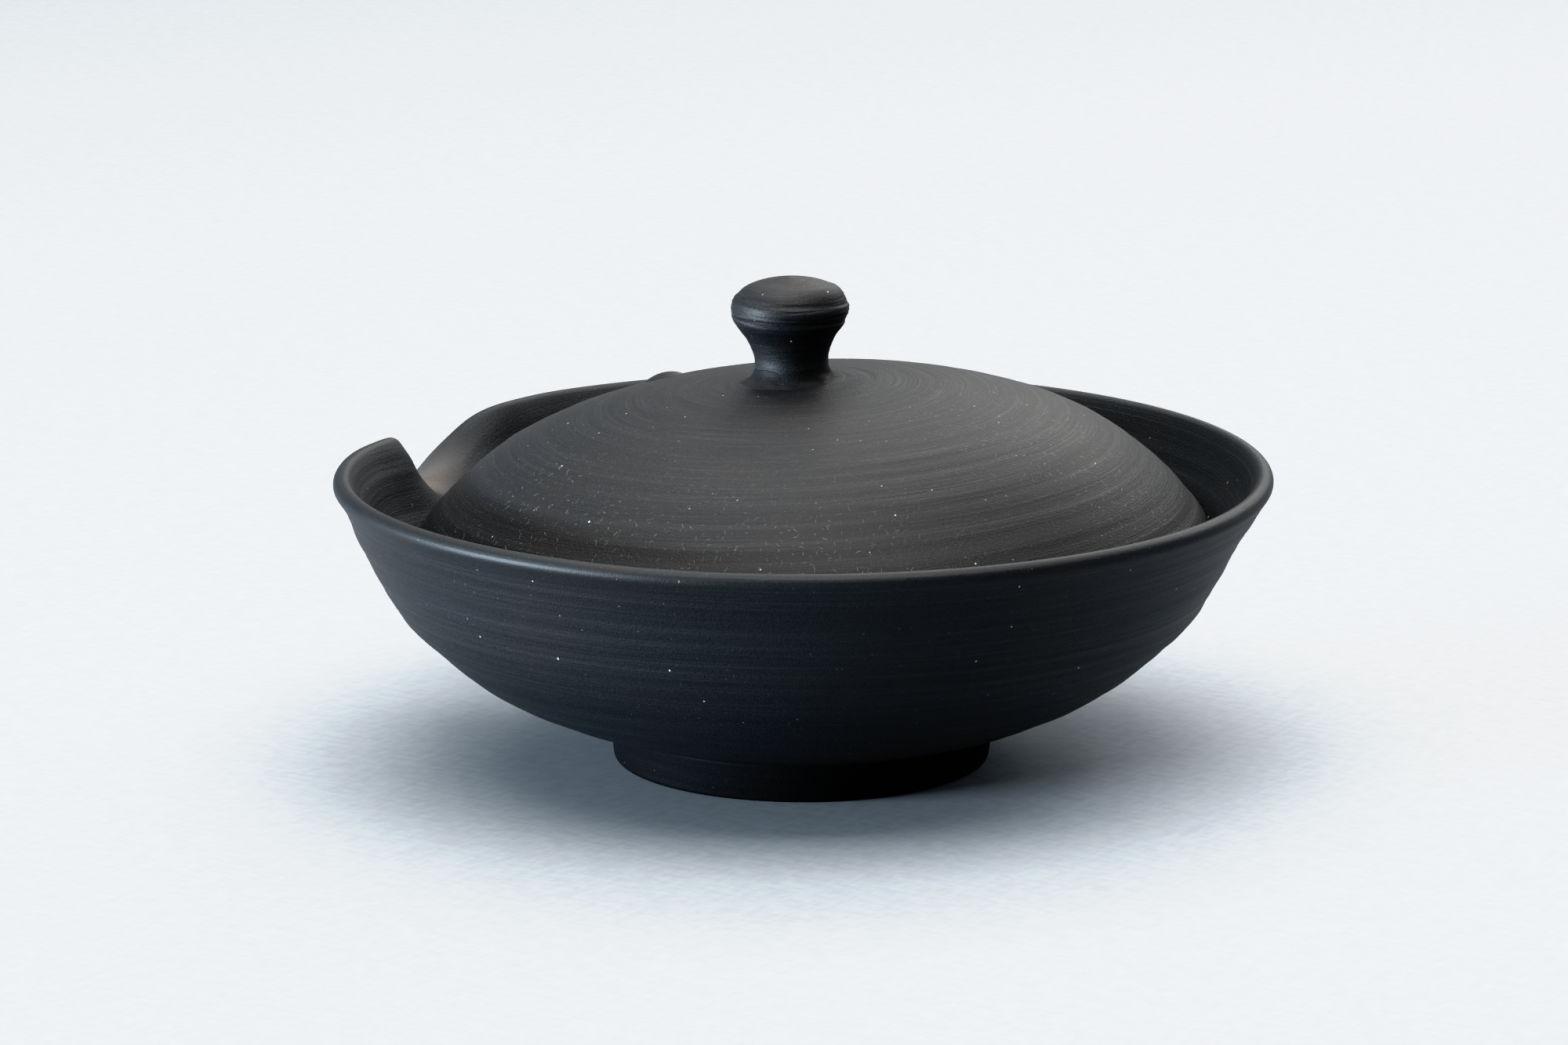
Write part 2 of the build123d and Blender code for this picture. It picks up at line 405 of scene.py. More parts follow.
# ---------------------------------------------------------------- bowl mesh
def rim_place(angle):
    """Centre of the rim's rounded edge, and the lean of the wall below it."""
    reach = bell(angle, LIP_REACH_ANGLE)
    pinch = bell(abs(angle) - PINCH_ANGLE, PINCH_WIDTH) * (1 - reach)
    dip = LIP_DIP * bell(angle, LIP_DIP_ANGLE, LIP_DIP_POWER)
    dip += SIDE_DIP * window(angle, SIDE_DIP_ANGLE)
    centre = (RIM[0] + LIP_REACH * reach - PINCH_DEPTH * pinch, RIM[1] - dip)
    lean = RIM_LEAN + (LIP_LEAN - RIM_LEAN) * reach
    return centre, lean


def beside(point, lean, distance):
    """A point square to a wall that leans this far from upright, on its outside."""
    a = math.radians(lean)
    return (point[0] + distance * math.cos(a), point[1] - distance * math.sin(a))


def along(point, lean, distance):
    """A point further up a wall that leans this far from upright."""
    a = math.radians(lean)
    return (point[0] + distance * math.sin(a), point[1] + distance * math.cos(a))


def wall_curve(angle, side):
    """The four steering points of the wall above the belly; side is 1 outside and -1 inside."""
    rim, rim_lean = rim_place(angle)
    pull = WALL_PULL * math.dist(BELLY, rim) / math.dist(BELLY, RIM)
    bend = pull * (1 + LIP_BEND * bell(angle, LIP_REACH_ANGLE))
    start = beside(BELLY, BELLY_LEAN, side * BELLY_WALL / 2)
    end = beside(rim, rim_lean, side * RIM_WALL / 2)
    return [start, along(start, BELLY_LEAN, pull), along(end, rim_lean, -bend), end]


def outer_wall_under():
    """The turned underside: a smooth curve, drawn part of the way to a row of flat bands."""
    end = beside(BELLY, BELLY_LEAN, BELLY_WALL / 2)
    through = [UNDERSIDE_START] + millimetres(UNDERSIDE) + [end]
    curve = spline(through, UNDERSIDE_HEADING, BELLY_HEADING, UNDERSIDE_SPACING)
    corners = [UNDERSIDE_START] + millimetres(FACET_CORNERS) + [end]
    out = []
    for r, z in curve:
        for a, b in zip(corners, corners[1:]):
            if a[0] <= r <= b[0] + 1e-9:
                flat = a[1] + (b[1] - a[1]) * (r - a[0]) / (b[0] - a[0])
                out.append((r, z + FACET_SHARE * (flat - z)))
                break
        else:
            out.append((r, z))
    return out


BELLY_HEADING = along((0, 0), BELLY_LEAN, 1)
UNDER_CURVE = outer_wall_under()
INNER_CURVE = spline(
    millimetres(INNER_FLOOR) + [beside(BELLY, BELLY_LEAN, -BELLY_WALL / 2)],
    (1, 0),
    BELLY_HEADING,
    INNER_SPACING,
)[::-1]


def tool_marks(s, angle):
    """Depth of the grooves at this place."""
    depth = 0.0
    for start, rise, middle, spread, cut in TOOL_MARKS:
        off = (angle - middle + 180) % 360 - 180
        if abs(off) < spread:
            near = bell(s / MM - start - rise * off, TOOL_MARK_WIDTH)
            depth += cut * MM * near * window(off, spread)
    return depth


def bowl_outline(angle):
    """From the axis under the bowl, out and up the wall, over the rim and down to the axis of the floor."""
    rim, rim_lean = rim_place(angle)
    under_centre = (0.0, FOOT_HEIGHT)
    flat = [under_centre] + straight(under_centre, UNDERSIDE_START, FLAT_STEPS)[:-1]
    outer = flat + UNDER_CURVE + bezier(wall_curve(angle, 1), OUTER_STEPS)
    lip = arc(rim, RIM_WALL / 2, -rim_lean, 180 - rim_lean, LIP_STEPS)[:-1]
    inner_wall = wall_curve(angle, -1)[::-1]
    inner = [inner_wall[0]] + bezier(inner_wall, INNER_STEPS) + INNER_CURVE[1:]
    floor_level = FOOT_HEIGHT + FLOOR_THICKNESS
    floor = straight((INNER_FLOOR[0][0] * MM, floor_level), (0.0, floor_level), FLOOR_STEPS)
    points = outer + lip + inner + floor
    run = lengths(points)
    rim_run = run[len(outer) - 1]
    under_run = run[len(flat)]
    inner_run = run[len(outer) + len(lip)]
    end_run = run[-1]
    amounts = []
    for i, s in enumerate(run):
        swell = RIM_RELIEF * bell((s - rim_run) / MM, RIM_SWELL_WIDTH)
        if i < len(outer):
            fade = between((under_run, under_run + 3 * MM), (rim_run - 3 * MM, rim_run - 1 * MM), s)
            relief = ripples(s, angle, OUTER_RIPPLES) - tool_marks(s, angle)
            groove = RIM_RELIEF * bell((s - rim_run + RIM_GROOVE_BELOW) / MM, RIM_GROOVE_WIDTH)
            amounts.append(fade * relief - groove + swell)
        elif s < inner_run:
            amounts.append(swell)
        else:
            fade = between((inner_run, inner_run + 3 * MM), (end_run - 14 * MM, end_run), s)
            amounts.append(fade * ripples(s, angle, INNER_RIPPLES))
    lift = RIM_WAVE * wander(angle, 5)
    return [(max(r, 0.0), z + lift * smooth(BELLY[1], RIM_TOP, z)) for r, z in push(points, amounts)]


def bowl_rub_painted_highlight_fade(angle, run):
    """Rubbed along the rim, a pale painted highlight on the pouring channel's floor, rings faded round the
    lip.
    """
    start = FLAT_STEPS + len(UNDER_CURVE) + OUTER_STEPS - 1
    end = start + LIP_STEPS
    marks = []
    for s in run:
        off = max(run[start] - s, s - run[end], 0.0) / MM
        if s > run[start]:
            # pale is the share of painted highlight: a pale shade standing in for the sheen on the channel
            # floor
            pale = bell(angle, LIP_HIGHLIGHT_HALF_ANGLE) * bell(off - LIP_HIGHLIGHT_BELOW, LIP_HIGHLIGHT_WIDTH)
            faded = bell(angle, FADED_INSIDE_ANGLE)
        else:
            pale = 0.0
            faded = FADED_OUTSIDE_SHARE * bell(angle, FADED_OUTSIDE_ANGLE)
        marks.append((bell(off, RUBBED_WIDTH), pale, faded))
    return marks


def bowl_angles():
    """Close together at the pouring lip, wider apart round the rest."""
    out = []
    angle = -180.0
    while angle < 180.0 - 1e-6:
        out.append(angle)
        angle += FINE_STEP if abs(angle + FINE_STEP / 2) < FINE_HALF_ANGLE else COARSE_STEP
    return out


bowl = turned("bowl_thrown", bowl_outline, bowl_angles(), off_axis=True, material_marks=bowl_rub_painted_highlight_fade)


# ---------------------------------------------------------------- foot ring mesh
def foot_outline(angle):
    """Round the ring's section: out along the floor, up, in under the bowl and down the inside."""
    low_in = FOOT_INNER_RADIUS
    low_out = FOOT_TOP_RADIUS - FOOT_TAPER
    edge = FOOT_EDGE
    top = FOOT_HEIGHT
    points = [(low_in + edge, 0.0)]
    points += straight(points[-1], (low_out - edge, 0.0), 6)
    points += arc((low_out - edge, edge), edge, -90, 0, 6)
    points += straight((low_out, edge), (FOOT_TOP_RADIUS, top), 8)
    points += straight((FOOT_TOP_RADIUS, top), (low_in - FOOT_TAPER, top), 4)
    points += straight((low_in - FOOT_TAPER, top), (low_in, edge), 6)
    points += arc((low_in + edge, edge), edge, 180, 270, 6)[:-1]
    amounts = []
    for (r, z), s in zip(points, lengths(points)):
        fade = between((0.0, 1.2 * MM), (top - 0.6 * MM, top), z)
        amounts.append(fade * ripples(s, angle, FOOT_RIPPLES))
    return push(points, amounts)


foot = turned("foot_ring_turned", foot_outline, all_round(FOOT_ANGLE_STEP), closed=True, off_axis=True)


# ---------------------------------------------------------------- lid mesh
def leaning(place, tilt):
    """Matrix that stands a turned piece at this place, leaning toward the lid's low side."""
    t = math.radians(tilt)
    x = Vector((math.cos(LOW_SIDE) * math.cos(t), math.sin(LOW_SIDE) * math.cos(t), -math.sin(t)))
    z = Vector((math.cos(LOW_SIDE) * math.sin(t), math.sin(LOW_SIDE) * math.sin(t), math.cos(t)))
    y = z.cross(x)
    rows = [(x[i], y[i], z[i], place[i]) for i in range(3)]
    return Matrix(rows + [(0, 0, 0, 1)])


LOW_SIDE = math.radians(LID_LOW_ANGLE)
LID_PLACE = Vector((-LID_SHIFT * math.cos(LOW_SIDE), -LID_SHIFT * math.sin(LOW_SIDE), LID_EDGE_HEIGHT))
LID_MATRIX = leaning(LID_PLACE, LID_TILT)
EDGE_CENTRE = (LID_EDGE_RADIUS - LID_EDGE_HALF, LID_EDGE_RISE)
DOME = spline(
    [(0.0, LID_APEX)] + millimetres(LID_DOME) + [(LID_EDGE_RADIUS, LID_EDGE_RISE)],
    (1, 0),
    DOME_EDGE_HEADING,
    DOME_SPACING,
)
UNDER_DOME = spline(
    [(EDGE_CENTRE[0] - LID_EDGE_HALF, LID_EDGE_RISE)]
    + [
        (
            r - LID_THICKNESS * r / UNDER_DOME_NARROWING,
            z - LID_THICKNESS * (1 - (r / UNDER_DOME_THINNING) ** 2),
        )
        for r, z in reversed(millimetres(LID_DOME))
    ]
    + [(0.0, LID_APEX - LID_THICKNESS)],
    (-DOME_EDGE_HEADING[0], -DOME_EDGE_HEADING[1]),
    (-1, 0),
    UNDER_DOME_SPACING,
)


def lid_outline(angle):
    """From the axis under the dome down to the edge, round it and up the dome to the crown."""
    edge = arc(EDGE_CENTRE, LID_EDGE_HALF, 180, 360, LID_EDGE_STEPS)[:-1]
    points = UNDER_DOME[::-1] + edge + DOME[::-1]
    run = lengths(points)
    dome_run = run[len(UNDER_DOME) + len(edge)]
    crown_run = run[-1]
    amounts = []
    for s in run:
        if s > dome_run:
            fade = between((dome_run, dome_run + 2 * MM), (crown_run - 8 * MM, crown_run), s)
            amounts.append(fade * ripples(s, angle, LID_RIPPLES))
        else:
            fade = between((0.0, 10 * MM), (dome_run - 8 * MM, dome_run - 5 * MM), s)
            amounts.append(fade * ripples(s, angle, UNDER_LID_RIPPLES))
    return [(max(r, 0.0), z) for r, z in push(points, amounts)]


lid = turned("lid_thrown", lid_outline, all_round(LID_ANGLE_STEP), LID_MATRIX)


# ---------------------------------------------------------------- knob and its slip collar
CROWN = LID_MATRIX @ Vector((KNOB_OFFSET, 0, LID_APEX))
KNOB_MATRIX = leaning(CROWN, KNOB_TILT)
KNOB_CURVE = spline([(0.0, KNOB_HEIGHT)] + millimetres(KNOB_CAP), CROWN_HEADING, (0, -1), KNOB_SPACING)


def knob_outline(angle):
    """From the root on the axis up the neck and over the cap, with a spiral ridge round the cap."""
    root = [(0.0, ROOT_LEVEL)] + straight((0.0, ROOT_LEVEL), (NECK_RADIUS, ROOT_LEVEL), ROOT_STEPS)
    neck = straight((NECK_RADIUS, ROOT_LEVEL), (NECK_RADIUS, NECK_TOP), NECK_STEPS)[:-1]
    points = root + neck + KNOB_CURVE[::-1]
    amounts = []
    for r, z in points:
        climb = (z - KNOB_HEIGHT) / SPIRAL_PITCH + angle / 360.0
        ridge = between((0.0, SPIRAL_PEAK), (SPIRAL_PEAK, 1.0), climb % 1.0) - SPIRAL_MEAN
        comb = grain(climb * MM, angle, COMB_PITCH, 11, 1.2)
        relief = SPIRAL_RIDGE * ridge * between(SPIRAL_RISE, SPIRAL_FALL, z)
        relief += COMB_RIDGE * comb * between(COMB_RISE, COMB_FALL, z)
        amounts.append(relief + ripples(z, angle, KNOB_RIPPLES))
    wobble = 1 + KNOB_WOBBLE * wander(angle, 13)
    outline = [(max(r * wobble, 0.0), z) for r, z in push(points, amounts)]
    outline[0] = (0.0, outline[0][1])
    outline[-1] = (0.0, outline[-1][1])
    return outline


def collar_outline(angle):
    """An uneven fillet of slip between the dome and the neck, with its foot under the dome."""
    reach = COLLAR_RADIUS + COLLAR_SPREAD + COLLAR_UNEVEN * wander(angle, 14, 1.9)
    height = COLLAR_HEIGHT + COLLAR_UNEVEN_TOP * wander(angle, 15, 1.4)
    inner = NECK_RADIUS - COLLAR_INSET
    points = [(inner, ROOT_LEVEL), (reach - 0.3 * MM, ROOT_LEVEL), (reach, -0.5 * MM)]
    points += [(reach, COLLAR_LEVEL - COLLAR_HEM), (reach - COLLAR_HEM, COLLAR_LEVEL)]
    round_x = math.cos(math.radians(angle)) * COLLAR_LUMPS_ROUND
    round_y = math.sin(math.radians(angle)) * COLLAR_LUMPS_ROUND
    for k in range(1, COLLAR_STEPS + 1):
        a = math.radians(90 * k / COLLAR_STEPS)
        r = reach - (reach - NECK_RADIUS) * math.sin(a)
        z = COLLAR_LEVEL + (height - COLLAR_LEVEL) * (1 - math.cos(a))
        place = Vector((round_x, round_y, r * COLLAR_LUMPS_PER_METRE))
        lump = COLLAR_LUMP * noise.noise(place) * math.sin(2 * a)
        points.append((r + lump, z + lump))
    points.append((inner, height + 0.1 * MM))
    return points


def collar_touch(angle, run):
    """The slip fades toward another shade at its hem, so that it runs into the dome."""
    hem = run[COLLAR_HEM_POINT]
    return [(0.0, 1 - smooth(*COLLAR_HEM_FADE, abs(s - hem)), 0.0) for s in run]


KNOB_ANGLES = all_round(KNOB_ANGLE_STEP)
knob = turned("knob_thrown", knob_outline, KNOB_ANGLES, KNOB_MATRIX)
collar = turned(
    "knob_collar_slip", collar_outline, KNOB_ANGLES, KNOB_MATRIX, closed=True, material_marks=collar_touch
)


# ---------------------------------------------------------------- bead mesh
def dome_height(radius):
    for a, b in zip(DOME, DOME[1:]):
        if a[0] <= radius <= b[0]:
            return a[1] + (b[1] - a[1]) * (radius - a[0]) / (b[0] - a[0])
    return LID_EDGE_RISE


def bead_outline(angle):
    """A small round button of clay with its foot pressed into the dome."""
    reach = BEAD_SPREAD * BEAD_RADIUS * (1 + BEAD_UNEVEN * wander(angle, 16))
    points = [(0.0, -0.3 * MM), (reach * 0.8, -0.3 * MM), (reach, -0.1 * MM)]
    for k in range(1, BEAD_STEPS + 1):
        a = math.radians(90 * k / BEAD_STEPS)
        points.append((reach * math.cos(a), BEAD_HEIGHT * math.sin(a) ** BEAD_PROFILE_POWER - BEAD_SUNK))
    points[-1] = (0.0, points[-1][1])
    return points


bead_turn = math.radians(BEAD_ANGLE - LID_LOW_ANGLE)
bead_level = dome_height(BEAD_DISTANCE)
bead_slope = math.atan2(bead_level - dome_height(BEAD_DISTANCE + MM), MM)
BEAD_MATRIX = (
    LID_MATRIX
    @ Matrix.Rotation(bead_turn, 4, "Z")
    @ Matrix.Translation((BEAD_DISTANCE, 0, bead_level))
    @ Matrix.Rotation(bead_slope, 4, "Y")
)
bead = turned("lid_bead_clay", bead_outline, all_round(BEAD_ANGLE_STEP), BEAD_MATRIX)


# ---------------------------------------------------------------- materials
class Nodes:
    """A shorthand for building one material's node tree."""

    def __init__(self, name):
        self.material = bpy.data.materials.new(name)
        self.material.use_nodes = True
        self.tree = self.material.node_tree
        self.shader = self.tree.nodes["Principled BSDF"]

    def add(self, kind, **settings):
        node = self.tree.nodes.new(kind)
        for key, value in settings.items():
            setattr(node, key, value)
        return node

    def feed(self, value, socket):
        if isinstance(value, bpy.types.NodeSocket):
            self.tree.links.new(value, socket)
        else:
            socket.default_value = value

    def math(self, operation, a, b=0.0, c=0.0, clamp=False):
        node = self.add("ShaderNodeMath", operation=operation, use_clamp=clamp)
        for value, socket in zip((a, b, c), node.inputs):
            self.feed(value, socket)
        return node.outputs[0]

    def vector(self, operation, a, b=(0, 0, 0), scale=1.0):
        node = self.add("ShaderNodeVectorMath", operation=operation)
        self.feed(a, node.inputs[0])
        if operation == "SCALE":
            self.feed(scale, node.inputs["Scale"])
        elif operation not in ("NORMALIZE", "LENGTH"):
            self.feed(b, node.inputs[1])
        return node.outputs["Value"] if operation in ("DOT_PRODUCT", "LENGTH") else node.outputs[0]

    def combine(self, x, y, z):
        node = self.add("ShaderNodeCombineXYZ")
        for value, socket in zip((x, y, z), node.inputs):
            self.feed(value, socket)
        return node.outputs[0]

    def noise(self, place, scale=1.0, detail=3.0, roughness=0.5):
        node = self.add("ShaderNodeTexNoise")
        self.feed(place, node.inputs["Vector"])
        self.feed(scale, node.inputs["Scale"])
        self.feed(detail, node.inputs["Detail"])
        self.feed(roughness, node.inputs["Roughness"])
        return node.outputs["Fac"]

    def ramp(self, value, low, high, to_low=0.0, to_high=1.0):
        node = self.add("ShaderNodeMapRange", interpolation_type="SMOOTHSTEP")
        for v, socket in zip((value, low, high, to_low, to_high), node.inputs):
            self.feed(v, socket)
        return node.outputs[0]

    def mix(self, factor, a, b):
        """Mixes two colours, which are sockets 6 and 7 of this node, with output 2."""
        node = self.add("ShaderNodeMix", data_type="RGBA")
        self.feed(factor, node.inputs[0])
        self.feed(a, node.inputs[6])
        self.feed(b, node.inputs[7])
        return node.outputs[2]


COLLAR_HEM_SHADE = (0.0140, 0.0136, 0.0138)
# A pale warm shade painted on the pouring channel's floor: a painted highlight for the sheen it catches
PAINTED_LIP_HIGHLIGHT = (0.098, 0.086, 0.078)
LINT = (0.180, 0.176, 0.170)


def grains(n, place, colour, per_metre, share, widest, strength, shade):
    """Mixes small pale grains into a colour."""
    cells = n.add("ShaderNodeTexVoronoi")
    n.feed(place, cells.inputs["Vector"])
    n.feed(per_metre, cells.inputs["Scale"])
    pick = n.add("ShaderNodeSeparateXYZ")
    n.feed(cells.outputs["Color"], pick.inputs[0])
    size = n.ramp(pick.outputs[0], 1.0 - share, 1.0, 0.0, widest)
    edge = n.math("SUBTRACT", 1.0, n.math("DIVIDE", cells.outputs["Distance"], n.math("ADD", size, 1e-5)))
    mask = n.math("MULTIPLY", edge, 3.0, clamp=True)
    mask = n.math("MULTIPLY", mask, n.ramp(pick.outputs[1], 0.0, 1.0, 0.2 * strength, strength))
    return n.mix(mask, colour, shade)


def hairs(n, place, per_metre, share):
    """Mask of short bent hairs, seen from above: at most one in each cell."""
    cells = n.add("ShaderNodeTexVoronoi", voronoi_dimensions="2D")
    n.feed(place, cells.inputs["Vector"])
    n.feed(per_metre, cells.inputs["Scale"])
    offset = n.vector("SCALE", n.vector("SUBTRACT", place, cells.outputs["Position"]), scale=per_metre)
    offset = n.vector("MULTIPLY", offset, (1, 1, 0))
    pick = n.add("ShaderNodeSeparateXYZ")
    n.feed(cells.outputs["Color"], pick.inputs[0])
    heading = n.math("MULTIPLY", pick.outputs[0], 2 * math.pi)
    ahead = n.combine(n.math("COSINE", heading), n.math("SINE", heading), 0.0)
    beside_it = n.combine(n.math("MULTIPLY", n.math("SINE", heading), -1.0), n.math("COSINE", heading), 0.0)
    run = n.vector("DOT_PRODUCT", offset, ahead)
    side = n.vector("DOT_PRODUCT", offset, beside_it)
    curl = n.math("SUBTRACT", n.math("MULTIPLY", pick.outputs[1], 1.6), 0.8)
    side = n.math("SUBTRACT", side, n.math("MULTIPLY", n.math("MULTIPLY", run, run), curl))
    half = n.math("MULTIPLY_ADD", pick.outputs[1], 0.16, 0.12)
    across = n.ramp(n.math("ABSOLUTE", side), 0.0, 0.042, 1.0, 0.0)
    mask = n.math("MULTIPLY", across, n.math("LESS_THAN", n.math("ABSOLUTE", run), half))
    return n.math("MULTIPLY", mask, n.ramp(pick.outputs[2], 1.0 - share, 1.0, 0.0, 0.8))


def clay(
    name,
    dark,
    light,
    tint,
    lines=1.0,
    specks=0.5,
    fibres=0.0,
    roughness=0.50,
    bump=1.0,
    shine=0.26,
    painted_highlight_and_hem_shade=PAINTED_LIP_HIGHLIGHT,
):
    """Unglazed black clay, turned on the wheel: fine rings, pale specks and, with fibres, lint."""
    n = Nodes(name)
    run = n.add("ShaderNodeAttribute", attribute_name="turn").outputs["Vector"]
    split = n.add("ShaderNodeSeparateXYZ")
    n.feed(run, split.inputs[0])
    cosine, sine, along_wall = split.outputs
    place = n.add("ShaderNodeTexCoord").outputs["Object"]

    def rings(per_mm, turn_rate, detail, seed):
        x = n.math("MULTIPLY", cosine, turn_rate)
        y = n.math("MULTIPLY", sine, turn_rate)
        z = n.math("MULTIPLY_ADD", along_wall, per_mm, seed)
        return n.noise(n.combine(x, y, z), 1.0, detail)

    fine = rings(per_mm=4.6, turn_rate=1.4, detail=1.5, seed=3.0)
    lines_mid = rings(per_mm=1.9, turn_rate=0.9, detail=2.0, seed=11.0)
    bands = rings(per_mm=0.30, turn_rate=0.6, detail=2.0, seed=23.0)
    strokes = rings(per_mm=2.4, turn_rate=5.0, detail=2.0, seed=31.0)
    body = n.noise(place, 3800.0, 2.0)
    cloud = n.noise(place, 55.0, 3.0)

    material_mark_parts = n.add("ShaderNodeSeparateXYZ")
    n.feed(n.add("ShaderNodeAttribute", attribute_name="material_marks").outputs["Vector"], material_mark_parts.inputs[0])
    rubbed_rim, highlight_and_hem_share, faded = material_mark_parts.outputs
    turned_lines = n.math("MULTIPLY_ADD", faded, -0.9, 1.0)
    tooth = n.math("MULTIPLY_ADD", rubbed_rim, -0.45, 1.0)

    # Colour: dark clay, paler along the rings, in slow clouds of a warmer tint, with any second shade over
    # it: on the bowl a painted highlight, on the collar the hem's shade
    rubbed = n.math("MULTIPLY", n.ramp(fine, 0.42, 0.72), n.ramp(lines_mid, 0.35, 0.7))
    rubbed = n.math("ADD", rubbed, n.math("MULTIPLY", n.ramp(strokes, 0.56, 0.76), 0.35), clamp=True)
    rubbed = n.math("MULTIPLY", rubbed, turned_lines)
    shade = n.math("MULTIPLY_ADD", rubbed, 0.42 * lines, n.math("MULTIPLY", bands, 0.62), clamp=True)
    shade = n.math("MULTIPLY_ADD", n.math("SUBTRACT", body, 0.5), 1.5, shade, clamp=True)
    colour = n.mix(shade, (*dark, 1), (*light, 1))
    colour = n.mix(n.math("MULTIPLY", n.ramp(cloud, 0.45, 0.75), 0.55), colour, (*tint, 1))
    colour = n.mix(n.math("MULTIPLY", highlight_and_hem_share, 0.85), colour, (*painted_highlight_and_hem_shade, 1))

    # Specks: small pale grains, each in its own cell, many faint and a few bright
    plan = n.vector("MULTIPLY", place, (1, 1, 0.6))
    colour = grains(n, plan, colour, 2100.0, 0.60 * specks, 0.20, 0.75, (0.075, 0.073, 0.070, 1))
    colour = grains(n, plan, colour, 800.0, 0.34 * specks, 0.12, 1.0, (0.36, 0.35, 0.33, 1))

    # Lint: short pale hairs that lie any way, fainter in some places
    if fibres > 0:
        patchy = n.ramp(n.noise(place, 30.0, 1.0), 0.38, 0.62)
        for cells_per_metre, share in ((1150.0, 0.55), (820.0, 0.5)):
            hair = hairs(n, place, cells_per_metre, fibres * share)
            hair = n.math("MULTIPLY", hair, n.math("MULTIPLY_ADD", patchy, 0.75, 0.25))
            colour = n.mix(hair, colour, (*LINT, 1))

    n.feed(colour, n.shader.inputs["Base Color"])
    rough = n.math("MULTIPLY_ADD", rubbed, -0.07, roughness + 0.03)
    rough = n.math("MULTIPLY_ADD", bands, 0.06, rough)
    rough = n.math("MULTIPLY_ADD", rubbed_rim, -0.02, rough)
    n.feed(rough, n.shader.inputs["Roughness"])
    n.shader.inputs["Specular IOR Level"].default_value = shine

    # Bump: turning rings over the fine tooth of the clay
    height = n.math("MULTIPLY", fine, 0.6)
    height = n.math("MULTIPLY_ADD", lines_mid, 0.65, height)
    height = n.math("MULTIPLY_ADD", strokes, 0.15, height)
    height = n.math("MULTIPLY", height, turned_lines)
    height = n.math("MULTIPLY_ADD", body, 1.1, height)
    height = n.math("MULTIPLY", height, tooth)
    ridges = n.add("ShaderNodeBump")
    n.feed(0.7 * bump, ridges.inputs["Strength"])
    n.feed(0.06 * MM, ridges.inputs["Distance"])
    n.feed(height, ridges.inputs["Height"])
    n.feed(ridges.outputs[0], n.shader.inputs["Normal"])
    return n.material


# The bowl's clay is dark; its blue cast is a painted reflection of the bluish floor and the shadow beneath
# the bowl.
bowl_clay = clay(
    "bowl_clay", (0.0034, 0.0043, 0.0053), (0.0128, 0.0146, 0.0168), (0.0110, 0.0094, 0.0082),
    lines=1.6, specks=0.6, bump=1.15,
)
# The foot ring's clay is darker than the bowl's: painted shade for the shadow under the bowl.
foot_clay = clay(
    "foot_clay", (0.0022, 0.0024, 0.0028), (0.0062, 0.0065, 0.0072), (0.0048, 0.0044, 0.0041),
    specks=0.3, roughness=0.68, shine=0.08,
)
lid_clay = clay(
    "lid_clay", (0.0042, 0.0042, 0.0046), (0.0150, 0.0150, 0.0160), (0.0120, 0.0098, 0.0083),
    lines=1.35, specks=1.0, fibres=0.9, bump=1.2, shine=0.24,
)
knob_clay = clay(
    "knob_clay", (0.0036, 0.0037, 0.0041), (0.0170, 0.0174, 0.0186), (0.0120, 0.0108, 0.0098),
    lines=1.4, specks=0.6, shine=0.24,
)
slip_clay = clay(
    "collar_slip", (0.0034, 0.0034, 0.0038), (0.0110, 0.0110, 0.0118), (0.0120, 0.0105, 0.0092),
    lines=0.4, specks=0.9, roughness=0.58, shine=0.16, painted_highlight_and_hem_shade=COLLAR_HEM_SHADE,
)
bead_clay = clay(
    "bead_clay", (0.0042, 0.0042, 0.0046), (0.0165, 0.0162, 0.0168), (0.0105, 0.0092, 0.0080),
    lines=0.3, specks=0.4, shine=0.24,
)

for piece, material, node, body, slot in (
    (bowl, bowl_clay, "bowl", "bowl_body", "bowl_clay"),
    (foot, foot_clay, "foot_ring", "bowl_body", "foot_clay"),
    (lid, lid_clay, "lid", "lid_body", "lid_clay"),
    (knob, knob_clay, "knob", "lid_body", "knob_clay"),
    (collar, slip_clay, "knob_collar", "lid_body", "collar_slip"),
    (bead, bead_clay, "lid_bead", "lid_body", "bead_clay"),
):
    piece.data.materials.append(material)
    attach(piece, body)
    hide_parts(node)

# ---------------------------------------------------------------- floor, light and camera
CAMERA_ANGLE = 123.5
CAMERA_RISE = 13.14
CAMERA_DISTANCE = 0.850
CAMERA_LENS = 152.4
CAMERA_SENSOR = 36.0
AIM_LEFT = 1.9 * MM
AIM_HEIGHT = 30.58 * MM

# Linear light in, light out: deepens the darks and lifts the pale floor
TONE_CURVE = [
    (0.010, 0.0021),
    (0.020, 0.0060),
    (0.050, 0.034),
    (0.120, 0.118),
    (0.220, 0.260),
    (0.440, 0.585),
    (0.620, 0.820),
    (0.780, 0.890),
    (0.920, 0.945),
]

FLOOR_SIZE = 12.0
FLOOR_LEVEL = -0.05 * MM
FLOOR_SHADE = (0.345, 0.368, 0.392)
FLOOR_CONTRAST = 0.06

LIGHT_AIM = Vector((0, 0, 0.03))
WARM = (1.0, 0.985, 0.965)
COOL = (0.74, 0.88, 1.0)
WORLD_COLOUR = (0.86, 0.94, 1.0, 1)
WORLD_STRENGTH = 0.38
